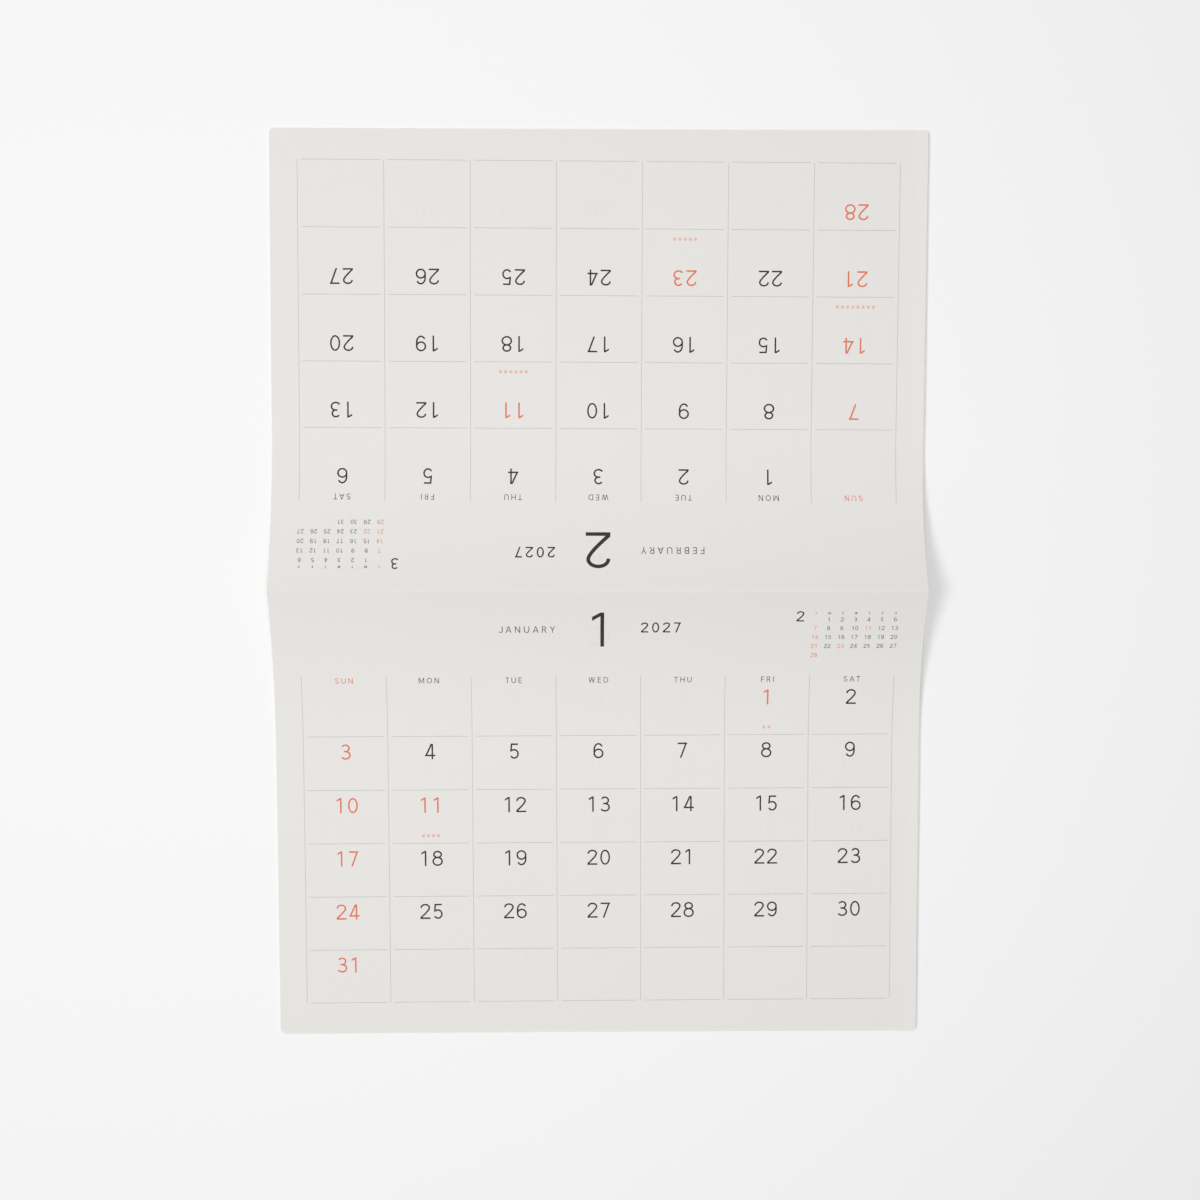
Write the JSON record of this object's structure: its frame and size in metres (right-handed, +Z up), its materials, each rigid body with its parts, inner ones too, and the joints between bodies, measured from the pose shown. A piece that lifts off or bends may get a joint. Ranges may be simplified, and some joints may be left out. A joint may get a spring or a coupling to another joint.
{
  "type": "wall calendar",
  "caption": "Wall calendar of loose folded paper sheets nested over one another, each with two months, opened flat with a raised ridge along the fold.",
  "frame": {"origin": "centre of the stack's outline, on the surface that it lies on", "axes": "+X along the fold, +Y across the fold towards the February edge, +Z up from the surface"},
  "size_m": [0.298, 0.416, 0.0207],
  "materials": {
    "paper": "uncoated off-white printing paper"
  },
  "bodies": {
    "root": {"sheet_nov_dec": "paper", "sheet_sep_oct": "paper", "sheet_jul_aug": "paper", "sheet_may_jun": "paper", "sheet_mar_apr": "paper", "sheet_jan_feb": "paper"}
  },
  "joints": []
}
